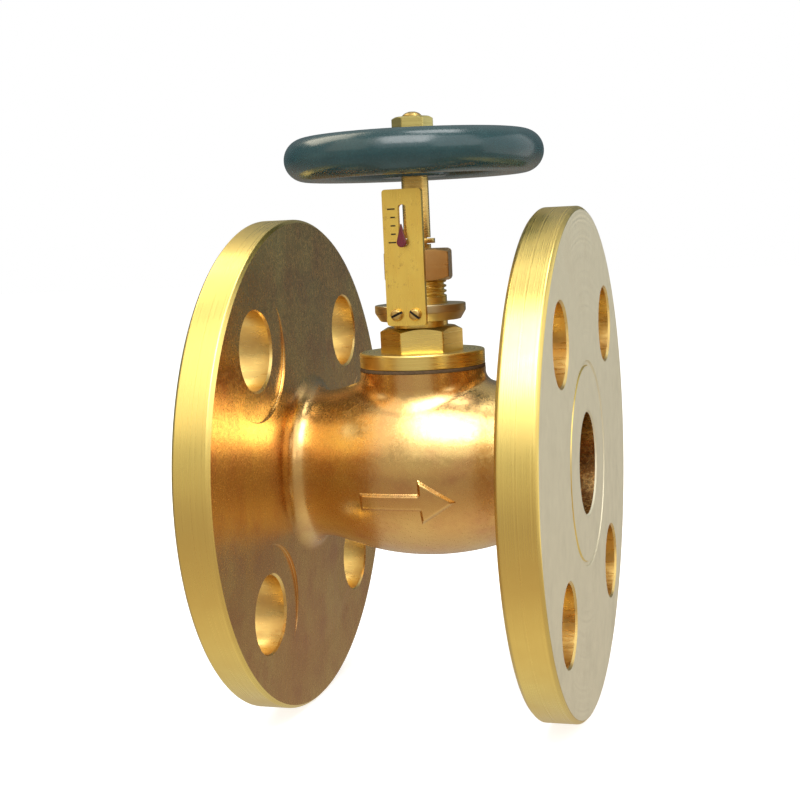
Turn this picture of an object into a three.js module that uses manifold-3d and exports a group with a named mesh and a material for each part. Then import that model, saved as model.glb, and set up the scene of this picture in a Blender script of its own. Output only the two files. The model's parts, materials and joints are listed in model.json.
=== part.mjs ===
// A DN 25 flanged bronze globe valve with a rising stem, a screwed bonnet, a packed gland,
// a painted handwheel and an open/shut indicator that rides on the stem.
//
// Frame: millimetres, +Z up along the stem, +X along the flow from the inlet to the outlet flange.
// The origin is where the stem axis crosses the axis of the pipe. The valve is drawn shut.
// Turning the handwheel anticlockwise, seen from above, lifts the stem one thread pitch a turn.

import * as THREE from "three";
import { mergeVertices } from "three/addons/utils/BufferGeometryUtils.js";
import Module from "manifold-3d";

const wasm = await Module();
wasm.setup();

// ---------------------------------------------------------------- driving dimensions

const FLANGE = {
  diameter: 125,
  thickness: 9.4,
  faceToFace: 82,
  boltCircle: 90,
  boltHole: 19,
  spotFace: 34, // machined seat round each bolt hole, on the back of the flange
  edge: 0.8, // chamfer of the rim's corners
  taper: 1.1, // how much thicker the cast back is at the hub than at the rim
};
const PORT_RADIUS = 12.5;

const BARREL = {
  radius: 23.1, // greatest outside radius, under the stem
  arcRadius: 63, // the barrel's long outside curve
  arcEnd: 16, // where that curve stops, from the middle
  neckRadius: 18.7, // where the barrel meets the fillet of each flange
  neckAt: 26,
  filletRadius: 4.4,
  wall: 3.8,
};
const NECK = { radius: 15.75, top: 24, bore: 13.5, boreFoot: 14.6, shaft: 12.8 };
const WEB = { thickness: 3.6, middle: -1, flatHalf: 10.5, rise: 16, reach: 25.5 };
const SEAT = { bore: 10.5, lip: 12.8, top: 2 };
const MARK = { relief: 0.8, shaftHalf: 2, headHalf: 5.5, tail: -11, shoulder: 4, tip: 12.5, z: -6 };

const THREAD = { major: 4.5, minor: 3.5, pitch: 2, clearance: 0.2 };
// The thread's form along one pitch: where the root ends, the crest starts and the crest ends.
const THREAD_FORM = { rootEnd: 0.366, crestStart: 0.5, crestEnd: 0.866 };
const LIFT = 8; // four turns of the handwheel

const STEM = { radius: 3.35, headRadius: 5.4, squareFlats: 5.2, studRadius: 2.6, top: 87.3 };
const GROOVE = { bottom: 54.9, top: 56.5, radius: 2.45 };
const DISC = {
  radius: 12.2,
  hubRadius: 9,
  top: 11,
  socketRadius: 5.7, // the room for the stem's head
  socketFoot: 4.5,
  threadRadius: 7.1, // above it, for the nut
  threadFoot: 7.3,
};
const DISC_NUT = { flats: 16, headHeight: 2.35 };
const BONNET = {
  threadRadius: 13.3,
  foot: 15,
  ringBottom: 24.9,
  ringTop: 28.6,
  ringRadius: 15.65,
  hexFlats: 18,
  hexTop: 34.6,
  spigotRadius: 6.75,
  spigotTop: 49.7,
  boxRadius: 5.2, // stuffing box
  boxFoot: 39,
  roomRadius: 9.9, // the hollow that takes the disc's hub when the valve is open
  roomTop: 22.3,
  threadTop: 33.2,
  reliefRadius: 4.8, // plain bore above the thread, up to the back seat
  backSeat: 34.9,
};
const PACKING = { rings: 3, pitch: 2.25, clearance: 0.1 };
const GLAND = { bottom: 46, noseRadius: 4.95, shoulder: 50, shoulderRadius: 6.3, top: 51.5 };
const GLAND_NUT = { flats: 16, bottom: 45.9, top: 53.8, ceiling: 51.6, hole: 3.75 };
const COLLAR = { radius: 11.35, bore: 6.95, bottom: 36.2, top: 40.2, flatAt: 10.9, chamfer: 1.3 };
const PLATE = { width: 9.8, thickness: 1.5, bottom: 35.6, top: 68.4, corner: 0.8, back: -11 };
const SLOT = { width: 2, bottom: 54.7, top: 56.7 + LIFT };
const SCREW = { spacing: 4.6, z: 38.3, shank: 1.15, head: 1.5, headHeight: 1.2, slot: 0.6 };
const GRUB_SCREW = { radius: 1.45, socketFlats: 1.5, socketDepth: 2 };
const POINTER = { z: 55.7, thickness: 1.2, arm: 1.6, forkRadius: 4.4 };
const POINTER_TIP = { back: 13, front: 14.2, radius: 1.2, apex: 4.6, rivet: 0.3, rivetHole: 0.4 };
const WHEEL = { ringRadius: 26.75, tubeRadius: 5.25, z: 76.6, hubRadius: 8, hubBottom: 71.4, hubTop: 80.8 };
const ARM = { halfWidth: 3.4, halfHeight: 2.6 }; // the oval section of the wheel's four arms
const WASHER = { radius: 4.3, thickness: 0.6, split: 0.8 };
const WHEEL_NUT = { flats: 9, bottom: 81.5, top: 86.1 };

const MATE = 0.15; // clearance left between cylinders that fit each other
const REST = 0.05; // gap left between faces that rest on each other
const PAST = 1; // how far a cutting tool runs past the face it cuts
const DEG = Math.PI / 180;

// How each hexagon happens to stand after it was tightened: the angle of one corner from +X.
const HEX_ANGLE = { bonnet: 16, glandNut: -21, wheelNut: 16, discNut: 0 };

// Number of facets round each kind of piece.
const FACETS = { large: 44, medium: 28, small: 16, hole: 16, thread: 12, screw: 12, rivet: 8, corner: 5 };

// ---------------------------------------------------------------- shapes

function solidOf(geometry) {
  const bare = geometry.index ? geometry.toNonIndexed() : geometry.clone();
  bare.deleteAttribute("normal");
  bare.deleteAttribute("uv");
  const merged = mergeVertices(bare, 1e-4);
  const build = (triVerts) =>
    new wasm.Manifold(
      new wasm.Mesh({ numProp: 3, vertProperties: merged.attributes.position.array, triVerts }),
    );
  const triVerts = new Uint32Array(merged.index.array);
  const made = build(triVerts);
  return made.volume() > 0 ? made : build(triVerts.reverse());
}

function geometryOf(solid) {
  const mesh = solid.getMesh();
  const geometry = new THREE.BufferGeometry();
  geometry.setAttribute("position", new THREE.BufferAttribute(mesh.vertProperties, 3));
  geometry.setIndex(new THREE.BufferAttribute(mesh.triVerts, 1));
  geometry.computeVertexNormals();
  return geometry;
}

// A profile of [radius, height] points turned round +Z. Both ends lie on the axis.
function turned(profile, facets) {
  const points = profile.map(([r, z]) => new THREE.Vector2(r, z));
  return solidOf(new THREE.LatheGeometry(points, facets).rotateX(Math.PI / 2));
}

function rod(radius, bottom, top, facets = FACETS.small) {
  return turned([[0, bottom], [radius, bottom], [radius, top], [0, top]], facets);
}

function tube(inner, outer, bottom, top, facets = FACETS.medium) {
  return rod(outer, bottom, top, facets).subtract(rod(inner, bottom - PAST, top + PAST, facets));
}

// A flat outline in X and Y, extruded from bottom to top along +Z.
function prism(shape, bottom, top, curveSegments = 8) {
  const options = { depth: top - bottom, bevelEnabled: false, curveSegments };
  return solidOf(new THREE.ExtrudeGeometry(shape, options).translate(0, 0, bottom));
}

function polygon(points) {
  return new THREE.Shape(points.map(([x, y]) => new THREE.Vector2(x, y)));
}

function hexagon(flats, angle) {
  const radius = flats / Math.sqrt(3);
  const corners = [...Array(6).keys()].map((k) => (angle + 60 * k) * DEG);
  return polygon(corners.map((a) => [radius * Math.cos(a), radius * Math.sin(a)]));
}

// A hexagonal head whose corners are turned off at 30 degrees at the ends that are named.
function hexHead(flats, angle, bottom, top, ends = ["bottom", "top"]) {
  const radius = flats / Math.sqrt(3) + 0.1;
  const bevel = (radius - flats / 2) * 1.6;
  const drop = bevel * Math.tan(30 * DEG);
  const turnedOff = (end) => (ends.includes(end) ? 1 : 0);
  const profile = [
    [0, bottom],
    [radius - bevel * turnedOff("bottom"), bottom],
    [radius, bottom + drop],
    [radius, top - drop],
    [radius - bevel * turnedOff("top"), top],
    [0, top],
  ];
  return prism(hexagon(flats, angle), bottom, top).intersect(turned(profile, FACETS.medium));
}

function block(x0, x1, y0, y1, z0, z1) {
  const box = new THREE.BoxGeometry(x1 - x0, y1 - y0, z1 - z0);
  return solidOf(box.translate((x0 + x1) / 2, (y0 + y1) / 2, (z0 + z1) / 2));
}

// Swings a solid from standing along +Z to lying along +X, or along -Y.
const alongX = (solid) => solid.rotate([0, 90, 0]);
const towardsFront = (solid) => solid.rotate([90, 0, 0]);

// A right-handed 30-degree trapezoidal thread as a solid rod from bottom to top. A grown thread
// is the tool that cuts the matching nut: wider by its clearance across and along.
//
// The surface is a grid of columns round the axis, each one a little higher than the last, so
// that its rows follow the helix. Past the last column it joins the first, one pitch up.
function threadedRod(bottom, top, grow = 0) {
  const { pitch } = THREAD;
  const root = THREAD.minor + grow;
  const crest = THREAD.major + grow;
  const along = (grow * 0.6) / pitch; // the flanks lean, so they move less along than across
  const { rootEnd, crestStart, crestEnd } = THREAD_FORM;
  const profile = [
    [along, root],
    [rootEnd - along, root],
    [crestStart - along, crest],
    [crestEnd + along, crest],
  ];
  const columns = FACETS.thread;
  const step = profile.length;
  const firstTurn = Math.floor(bottom / pitch) - 2;
  const turns = Math.ceil((top - bottom) / pitch) + 4;
  const rows = turns * step;
  const at = (column, row) => column * rows + row;

  const positions = [];
  for (let column = 0; column < columns; column++) {
    const angle = (2 * Math.PI * column) / columns;
    for (let row = 0; row < rows; row++) {
      const [offset, radius] = profile[row % step];
      const turn = firstTurn + Math.floor(row / step) + column / columns;
      positions.push(radius * Math.cos(angle), radius * Math.sin(angle), pitch * (turn + offset));
    }
  }
  const index = [];
  const quad = (a, b, c, d) => index.push(a, b, c, a, c, d);
  for (let column = 0; column < columns - 1; column++)
    for (let row = 0; row < rows - 1; row++)
      quad(at(column, row), at(column + 1, row), at(column + 1, row + 1), at(column, row + 1));
  const last = columns - 1;
  for (let row = 0; row < rows - 1 - step; row++)
    quad(at(last, row), at(0, row + step), at(0, row + step + 1), at(last, row + 1));

  // Each end is a fan from a point on the axis to the rim: one turn of the helix and the step.
  const count = (n) => [...Array(n).keys()];
  const lowRim = [...count(columns).map((c) => at(c, 0)), ...count(step).map((k) => at(0, step - k))];
  const highRim = [
    at(0, rows - 1),
    ...count(step).map((k) => at(last, rows - 1 - step + k)),
    ...count(last).map((k) => at(last - k, rows - 1)),
  ];
  const fan = (rim, z) => {
    const centre = positions.length / 3;
    positions.push(0, 0, z);
    rim.forEach((a, k) => index.push(centre, rim[(k + 1) % rim.length], a));
  };
  fan(lowRim, pitch * (firstTurn - 1));
  fan(highRim, pitch * (firstTurn + turns + 2));

  const geometry = new THREE.BufferGeometry();
  geometry.setAttribute("position", new THREE.Float32BufferAttribute(positions, 3));
  geometry.setIndex(index);
  return solidOf(geometry).intersect(rod(crest + 1, bottom, top, columns));
}

// ---------------------------------------------------------------- body casting

// Half of the barrel's outside, as a path from the middle to the flange, in (x, radius).
// extra moves it outwards, for raised marks.
function barrelOutside(extra = 0) {
  const { radius, arcRadius, arcEnd, neckRadius, neckAt, filletRadius } = BARREL;
  const flangeBack = FLANGE.faceToFace / 2 - FLANGE.thickness - FLANGE.taper;
  const swing = Math.asin(arcEnd / arcRadius);
  const slope = Math.tan(swing);
  const arcFoot = radius - arcRadius * (1 - Math.cos(swing));
  const half = (neckAt - arcEnd) / 2;
  const neckEnd = flangeBack - filletRadius;
  const arc = new THREE.EllipseCurve(
    0, radius - arcRadius + extra, arcRadius, arcRadius, 90 * DEG, 90 * DEG - swing, true,
  );
  const blend = new THREE.CubicBezierCurve(
    new THREE.Vector2(arcEnd, arcFoot + extra),
    new THREE.Vector2(arcEnd + half, arcFoot - slope * half + extra),
    new THREE.Vector2(neckAt - half * 0.7, neckRadius + extra),
    new THREE.Vector2(neckAt, neckRadius + extra),
  );
  const fillet = new THREE.EllipseCurve(
    neckEnd, neckRadius + filletRadius + extra, filletRadius, filletRadius, -90 * DEG, 0,
  );
  const points = [...arc.getPoints(3), ...blend.getPoints(3).slice(1), ...fillet.getPoints(3)];
  return points.map((p) => [p.x, p.y]);
}

// Turns half a profile, given in (x, radius) from the middle outwards, round the pipe's axis.
function aboutPipe(half, facets) {
  const mirrored = half.slice(1).reverse().map(([x, r]) => [-x, r]);
  const full = [...mirrored, ...half];
  const end = full[full.length - 1][0];
  const profile = [[0, -end], ...full.map(([x, r]) => [r, x]), [0, end]];
  return alongX(turned(profile, facets));
}

function castOutside() {
  const face = FLANGE.faceToFace / 2;
  const back = face - FLANGE.thickness;
  const rim = FLANGE.diameter / 2;
  const half = [
    ...barrelOutside(),
    [back, FLANGE.boltCircle / 2 + 4],
    [back, rim - FLANGE.edge],
    [back + FLANGE.edge, rim],
    [face - FLANGE.edge, rim],
    [face, rim - FLANGE.edge],
  ];
  const neck = rod(NECK.radius, 0, NECK.top, FACETS.large);
  return aboutPipe(half, FACETS.large).add(neck).add(flowArrow());
}

// A raised arrow on the front of the barrel, pointing downstream.
function flowArrow() {
  const { relief, shaftHalf, headHalf, tail, shoulder, tip, z } = MARK;
  const outline = polygon([
    [tail, -shaftHalf], [shoulder, -shaftHalf], [shoulder, -headHalf], [tip, 0],
    [shoulder, headHalf], [shoulder, shaftHalf], [tail, shaftHalf],
  ]);
  const arrow = towardsFront(prism(outline, BARREL.wall * 4, BARREL.radius + 2)).translate(0, 0, z);
  const skin = aboutPipe(barrelOutside(relief).filter(([x]) => x < BARREL.neckAt), FACETS.large);
  return arrow.intersect(skin);
}

// The S-shaped wall that parts the inlet from the outlet, with the raised seat on its middle.
function partition() {
  const { middle, flatHalf, rise, reach, thickness } = WEB;
  const half = [
    [0, 0], [flatHalf - 2, 0], [flatHalf + 2.5, 0.9], [flatHalf + 7, 5.5],
    [reach - 3.5, 11.5], [reach, rise],
  ];
  const line = [
    ...half.slice(1).reverse().map(([x, z]) => new THREE.Vector2(-x, middle + z)),
    ...half.map(([x, z]) => new THREE.Vector2(x, middle - z)),
  ];
  const curve = new THREE.SplineCurve(line);
  const samples = [...Array(19).keys()].map((k) => k / 18);
  const edge = (side) =>
    samples.map((t) => {
      const point = curve.getPoint(t);
      const tangent = curve.getTangent(t);
      const offset = (side * thickness) / 2;
      return [point.x - tangent.y * offset, point.y + tangent.x * offset];
    });
  const section = polygon([...edge(-1), ...edge(1).reverse()]);
  const wall = towardsFront(prism(section, -BARREL.radius, BARREL.radius));
  const lip = rod(SEAT.lip, middle, SEAT.top, FACETS.medium);
  const bore = rod(SEAT.bore, -BARREL.radius / 2, SEAT.top + 1, FACETS.medium);
  return wall.add(lip).subtract(bore);
}

function waterway() {
  const { radius, arcRadius, arcEnd, neckAt, wall } = BARREL;
  const swing = Math.asin(arcEnd / arcRadius);
  const inner = radius - wall;
  const bulge = new THREE.EllipseCurve(
    0, inner - arcRadius, arcRadius, arcRadius, 90 * DEG, 90 * DEG - swing, true,
  );
  const taper = new THREE.CubicBezierCurve(
    new THREE.Vector2(arcEnd, inner - arcRadius * (1 - Math.cos(swing))),
    new THREE.Vector2(neckAt - 5, inner - 4),
    new THREE.Vector2(neckAt - 3, PORT_RADIUS),
    new THREE.Vector2(neckAt + 2, PORT_RADIUS),
  );
  const points = [...bulge.getPoints(2), ...taper.getPoints(3).slice(1)].map((p) => [p.x, p.y]);
  const cavity = aboutPipe([...points, [FLANGE.faceToFace / 2 + PAST, PORT_RADIUS]], FACETS.medium);
  const shaft = rod(NECK.shaft, SEAT.top, NECK.top + PAST, FACETS.medium);
  const bonnetSeat = rod(NECK.bore, NECK.boreFoot, NECK.top + PAST, FACETS.medium);
  return cavity.subtract(partition()).add(shaft).add(bonnetSeat);
}

function bodyCasting() {
  const face = FLANGE.faceToFace / 2;
  const circle = FLANGE.boltCircle / 2;
  let body = castOutside().subtract(waterway());
  for (const quarter of [45, 135, 225, 315]) {
    const y = circle * Math.cos(quarter * DEG);
    const z = circle * Math.sin(quarter * DEG);
    const hole = alongX(rod(FLANGE.boltHole / 2, -face - 1, face + 1, FACETS.hole)).translate(0, y, z);
    const flat = face - FLANGE.thickness;
    const spotFaces = alongX(rod(FLANGE.spotFace / 2, -flat, flat, FACETS.medium)).translate(0, y, z);
    body = body.subtract(hole).subtract(spotFaces);
  }
  return body;
}

// ---------------------------------------------------------------- bonnet, packing and gland

function bonnet() {
  const b = BONNET;
  const outside = turned(
    [
      [0, b.foot], [b.threadRadius - 0.8, b.foot], [b.threadRadius, b.foot + 0.8],
      [b.threadRadius, b.ringBottom], [b.ringRadius, b.ringBottom], [b.ringRadius, b.ringTop - 0.5],
      [b.ringRadius - 0.5, b.ringTop], [0, b.ringTop],
    ],
    FACETS.large,
  );
  const hex = hexHead(b.hexFlats, HEX_ANGLE.bonnet, b.ringTop - 0.5, b.hexTop, ["top"]);
  const spigot = turned(
    [
      [0, b.hexTop - 1], [b.spigotRadius, b.hexTop - 1], [b.spigotRadius, b.spigotTop - 0.5],
      [b.spigotRadius - 0.5, b.spigotTop], [0, b.spigotTop],
    ],
    FACETS.medium,
  );
  const discRoom = turned(
    [
      [0, b.foot - PAST], [b.roomRadius, b.foot - PAST], [b.roomRadius, b.roomTop - 1.4],
      [b.roomRadius - 1.3, b.roomTop], [0, b.roomTop],
    ],
    FACETS.medium,
  );
  const nutThread = threadedRod(b.roomTop - 1.3, b.threadTop + 0.3, THREAD.clearance);
  const bore = STEM.radius + MATE;
  const relief = turned(
    [
      [0, b.threadTop], [b.reliefRadius, b.threadTop], [b.reliefRadius, b.backSeat],
      [bore, b.backSeat + 1.2], [bore, b.boxFoot], [0, b.boxFoot],
    ],
    FACETS.small,
  );
  const stuffingBox = rod(b.boxRadius, b.boxFoot, b.spigotTop + PAST, FACETS.small);
  const holes = [discRoom, nutThread, relief, stuffingBox];
  return holes.reduce((made, hole) => made.subtract(hole), outside.add(hex).add(spigot));
}

function bonnetGasket() {
  return tube(NECK.bore + 0.1, NECK.radius - REST, NECK.top + REST, BONNET.ringBottom - REST);
}

function packingRing(number) {
  const { pitch, clearance } = PACKING;
  const bottom = BONNET.boxFoot + REST + number * pitch;
  const inner = STEM.radius + clearance;
  return tube(inner, BONNET.boxRadius - clearance, bottom, bottom + pitch - REST, FACETS.small);
}

function gland() {
  const { bottom, noseRadius, shoulder, shoulderRadius, top } = GLAND;
  const profile = [
    [0, bottom], [noseRadius, bottom], [noseRadius, shoulder], [shoulderRadius, shoulder],
    [shoulderRadius, top - 0.6], [shoulderRadius - 0.9, top], [0, top],
  ];
  return turned(profile, FACETS.small).subtract(rod(STEM.radius + MATE, bottom - PAST, top + PAST));
}

function glandNut() {
  const { flats, bottom, top, ceiling } = GLAND_NUT;
  const thread = rod(BONNET.spigotRadius + MATE, bottom - PAST, ceiling, FACETS.medium);
  const hole = rod(GLAND_NUT.hole, bottom, top + PAST);
  return hexHead(flats, HEX_ANGLE.glandNut, bottom, top).subtract(thread).subtract(hole);
}

// ---------------------------------------------------------------- indicator

const screwPlaces = [-SCREW.spacing / 2, SCREW.spacing / 2];

function collar() {
  const c = COLLAR;
  const ring = turned(
    [
      [0, c.bottom], [c.radius - c.chamfer, c.bottom], [c.radius, c.bottom + c.chamfer * 1.6],
      [c.radius, c.top - 0.3], [c.radius - 0.3, c.top], [0, c.top],
    ],
    FACETS.large,
  );
  const flat = block(-c.radius, c.radius, -c.radius - PAST, -c.flatAt, c.bottom - PAST, c.top + PAST);
  const bore = rod(c.bore, c.bottom - PAST, c.top + PAST, FACETS.medium);
  const screwHole = towardsFront(rod(SCREW.shank + MATE, c.bore - PAST, c.radius + PAST, FACETS.screw));
  const grubHole = towardsFront(
    rod(GRUB_SCREW.radius + MATE, -c.radius - PAST, -c.bore + PAST, FACETS.screw),
  );
  const holes = [
    ...screwPlaces.map((x) => screwHole.translate(x, 0, SCREW.z)),
    grubHole.translate(0, 0, SCREW.z),
  ];
  return holes.reduce((made, hole) => made.subtract(hole), ring.subtract(bore).subtract(flat));
}

function grubScrew() {
  const { radius, socketFlats, socketDepth } = GRUB_SCREW;
  const body = rod(radius, -COLLAR.radius + 0.3, -COLLAR.bore, FACETS.screw);
  const outside = -COLLAR.radius;
  const socket = prism(hexagon(socketFlats, 0), outside - PAST, outside + socketDepth);
  return towardsFront(body.subtract(socket)).translate(0, 0, SCREW.z);
}

function indicatorPlate() {
  const { width, thickness, bottom, top, corner, back } = PLATE;
  const half = width / 2;
  const outline = new THREE.Shape();
  outline.moveTo(-half + corner, bottom);
  outline.lineTo(half - corner, bottom);
  outline.absarc(half - corner, bottom + corner, corner, -90 * DEG, 0, false);
  outline.absarc(half - corner, top - corner, corner, 0, 90 * DEG, false);
  outline.absarc(-half + corner, top - corner, corner, 90 * DEG, 180 * DEG, false);
  outline.absarc(-half + corner, bottom + corner, corner, 180 * DEG, 270 * DEG, false);
  const end = SLOT.width / 2;
  const slot = new THREE.Path();
  slot.absarc(0, SLOT.bottom + end, end, 180 * DEG, 360 * DEG, false);
  slot.absarc(0, SLOT.top - end, end, 0, 180 * DEG, false);
  outline.holes.push(slot);
  for (const x of screwPlaces)
    outline.holes.push(new THREE.Path().absarc(x, SCREW.z, SCREW.shank + MATE, 0, 360 * DEG, false));
  return towardsFront(prism(outline, -back, -back + thickness, FACETS.corner));
}

function indicatorScrew(x) {
  const seat = -PLATE.back + PLATE.thickness + REST;
  const { shank, head, headHeight, z } = SCREW;
  const end = COLLAR.bore + 0.2;
  const crown = seat + headHeight;
  const profile = [
    [0, end], [shank, end], [shank, seat], [head, seat], [head, seat + headHeight * 0.6],
    [head * 0.75, crown], [0, crown],
  ];
  const half = SCREW.slot / 2;
  const slot = block(-head - PAST, head + PAST, -half, half, crown - headHeight * 0.6, crown + PAST);
  return towardsFront(turned(profile, FACETS.hole).subtract(slot)).translate(x, 0, z);
}

// A flat fork that sits in the groove of the stem and reaches forward through the slot.
function pointerFork() {
  const { z, thickness, arm, forkRadius } = POINTER;
  const reach = POINTER_TIP.back - REST;
  const low = z - thickness / 2;
  const high = z + thickness / 2;
  const inner = GROOVE.radius + MATE;
  const ring = rod(forkRadius, low, high, FACETS.small);
  const mouth = block(-inner, inner, 0, forkRadius + PAST, low - PAST, high + PAST);
  const notch = rod(inner, low - PAST, high + PAST).add(mouth);
  const tongue = block(-arm / 2, arm / 2, -reach, -inner - 0.6, low, high);
  const rivetTool = rod(POINTER_TIP.rivetHole, reach - 2, reach + PAST, FACETS.rivet);
  const rivetHole = towardsFront(rivetTool).translate(0, 0, z);
  return ring.subtract(notch).add(tongue).subtract(rivetHole);
}

// The painted arrow-shaped tip, riveted to the end of the fork.
function pointerTip() {
  const { back, front, radius, apex, rivet } = POINTER_TIP;
  const side = Math.acos(radius / apex);
  const drop = new THREE.Shape();
  drop.absarc(0, 0, radius, 90 * DEG + side, 450 * DEG - side, false);
  drop.lineTo(0, apex);
  const pin = rod(rivet, back - 1.8, back + 0.2, FACETS.rivet);
  return towardsFront(prism(drop, back, front, FACETS.corner).add(pin)).translate(0, 0, POINTER.z);
}

// ---------------------------------------------------------------- stem, disc and handwheel

function stem() {
  const s = STEM;
  const threadTop = 26.6;
  const squareBottom = WHEEL.hubBottom - 0.1;
  const squareTop = WHEEL.hubTop + 0.05;
  const shaft = turned(
    [
      [0, 4.7], [2, 4.75], [s.headRadius - 0.6, 5.1], [s.headRadius, 5.6], [s.headRadius, 7.1], [4, 7.3],
      [4, 14], [THREAD.minor - 0.1, 14.6], [THREAD.minor - 0.1, threadTop], [s.radius, threadTop + 1],
      [s.radius, GROOVE.bottom], [GROOVE.radius, GROOVE.bottom], [GROOVE.radius, GROOVE.top],
      [s.radius, GROOVE.top], [s.radius, squareTop], [s.studRadius, squareTop],
      [s.studRadius, s.top - 1.1], [s.studRadius - 0.5, s.top - 0.35], [1.1, s.top], [0, s.top],
    ],
    FACETS.small,
  );
  const crest = THREAD.major + 0.1;
  const threadEnd = turned(
    [
      [0, 14.2], [THREAD.minor, 14.2], [crest, 15.2], [crest, threadTop - 0.2],
      [s.radius, threadTop + 1], [0, threadTop + 1],
    ],
    FACETS.small,
  );
  const thread = threadedRod(14.2, threadTop + 1).intersect(threadEnd);
  const half = s.squareFlats / 2;
  const square = block(-half, half, -half, half, squareBottom, s.top + 1);
  const below = rod(s.headRadius + 1, 0, squareBottom);
  return shaft.add(thread).intersect(below.add(square));
}

function disc() {
  const d = DISC;
  const outside = turned(
    [
      [0, SEAT.top + REST], [d.radius - 0.6, SEAT.top + REST], [d.radius, SEAT.top + 0.6], [d.radius, 5.2],
      [d.radius - 0.6, 5.8], [d.hubRadius + 0.8, 6.2], [d.hubRadius, 7], [d.hubRadius, d.top], [0, d.top],
    ],
    FACETS.medium,
  );
  const socket = turned(
    [
      [0, d.socketFoot], [d.socketRadius, d.socketFoot], [d.socketRadius, d.threadFoot - 0.1],
      [d.threadRadius, d.threadFoot], [d.threadRadius, d.top + PAST], [0, d.top + PAST],
    ],
    FACETS.small,
  );
  return outside.subtract(socket);
}

// The nut that keeps the head of the stem in the disc, free to swivel.
function discNut() {
  const { flats, headHeight } = DISC_NUT;
  const foot = DISC.threadFoot + 0.2;
  const seat = DISC.top + REST;
  const shank = rod(DISC.threadRadius - MATE, foot, seat + 0.5, FACETS.small);
  const head = hexHead(flats, HEX_ANGLE.discNut, seat, seat + headHeight, ["top"]);
  const hole = rod(THREAD.major + 0.2, foot - PAST, seat + headHeight + PAST);
  return shank.add(head).subtract(hole);
}

// One arm of the wheel: an oval bar from the hub to the rim.
function spoke(angle) {
  const oval = new THREE.Shape();
  oval.absellipse(0, 0, ARM.halfHeight, ARM.halfWidth, 0, 360 * DEG, false, 0);
  const bar = prism(oval, WHEEL.hubRadius - 3, WHEEL.ringRadius, FACETS.corner);
  return alongX(bar).translate(0, 0, WHEEL.z).rotate([0, 0, angle]);
}

function handwheel() {
  const w = WHEEL;
  const ring = solidOf(new THREE.TorusGeometry(w.ringRadius, w.tubeRadius, 14, 44).translate(0, 0, w.z));
  const hub = turned(
    [
      [0, w.hubBottom], [w.hubRadius - 1, w.hubBottom], [w.hubRadius, w.hubBottom + 1],
      [w.hubRadius, w.hubTop - 1], [w.hubRadius - 1, w.hubTop], [0, w.hubTop],
    ],
    FACETS.small,
  );
  const half = STEM.squareFlats / 2 + 0.12;
  const square = block(-half, half, -half, half, w.hubBottom - PAST, w.hubTop + PAST);
  const arms = [0, 90, 180, 270].map(spoke);
  return arms.reduce((made, arm) => made.add(arm), ring.add(hub)).subtract(square);
}

// A split spring washer under the handwheel nut.
function springWasher() {
  const { radius, thickness } = WASHER;
  const bottom = WHEEL.hubTop + REST;
  const top = bottom + thickness;
  const half = WASHER.split / 2;
  const split = block(STEM.studRadius - 0.6, radius + PAST, -half, half, bottom - PAST, top + PAST);
  return tube(STEM.studRadius + 0.2, radius, bottom, top, FACETS.small).subtract(split);
}

function handwheelNut() {
  const { flats, bottom, top } = WHEEL_NUT;
  const hole = rod(STEM.studRadius + MATE, bottom - PAST, top + PAST);
  return hexHead(flats, HEX_ANGLE.wheelNut, bottom, top).subtract(hole);
}

// ---------------------------------------------------------------- the valve

const material = (color, roughness, metalness = 1) =>
  new THREE.MeshStandardMaterial({ color, roughness, metalness });
const MATERIALS = {
  castBronze: material("#b8803f", 0.42),
  machinedBronze: material("#cda64a", 0.3),
  brass: material("#d2ad4b", 0.28),
  paint: material("#2c4448", 0.3, 0),
  redPaint: material("#5c1f2a", 0.45, 0),
  gasket: material("#4a4a46", 0.9, 0),
  packing: material("#d9d5c8", 0.8, 0),
  steel: material("#8d8a84", 0.4),
};

const packingNumbers = [...Array(PACKING.rings).keys()];
const pieces = [
  ["body_casting", bodyCasting(), MATERIALS.castBronze],
  ["bonnet", bonnet(), MATERIALS.machinedBronze],
  ["bonnet_gasket", bonnetGasket(), MATERIALS.gasket],
  ...packingNumbers.map((k) => [`packing_ring_${k + 1}`, packingRing(k), MATERIALS.packing]),
  ["gland", gland(), MATERIALS.brass],
  ["gland_nut", glandNut(), MATERIALS.machinedBronze],
  ["indicator_collar", collar(), MATERIALS.machinedBronze],
  ["collar_grub_screw", grubScrew(), MATERIALS.steel],
  ["indicator_plate", indicatorPlate(), MATERIALS.brass],
  ["indicator_screw_left", indicatorScrew(screwPlaces[0]), MATERIALS.brass],
  ["indicator_screw_right", indicatorScrew(screwPlaces[1]), MATERIALS.brass],
  ["pointer_fork", pointerFork(), MATERIALS.brass],
  ["pointer_tip", pointerTip(), MATERIALS.redPaint],
  ["stem", stem(), MATERIALS.brass],
  ["disc", disc(), MATERIALS.machinedBronze],
  ["disc_nut", discNut(), MATERIALS.brass],
  ["handwheel", handwheel(), MATERIALS.paint],
  ["spring_washer", springWasher(), MATERIALS.steel],
  ["handwheel_nut", handwheelNut(), MATERIALS.brass],
];

const valve = new THREE.Group();
for (const [name, solid, surface] of pieces) {
  const mesh = new THREE.Mesh(geometryOf(solid), surface);
  mesh.name = name;
  valve.add(mesh);
}

export default valve;
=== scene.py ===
"""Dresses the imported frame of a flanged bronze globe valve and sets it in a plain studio.

Sizes are in millimetres, in the frame of the CAD model: +Z up along the stem, +X along the flow,
and the origin where the stem's axis crosses the axis of the pipe. make() turns them into metres.
"""

import json
from math import acos, cos, pi, radians, sin, sqrt, tan
from types import SimpleNamespace as Sizes

import bmesh
import bpy
import numpy as np
from mathutils import Matrix, Vector


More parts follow.
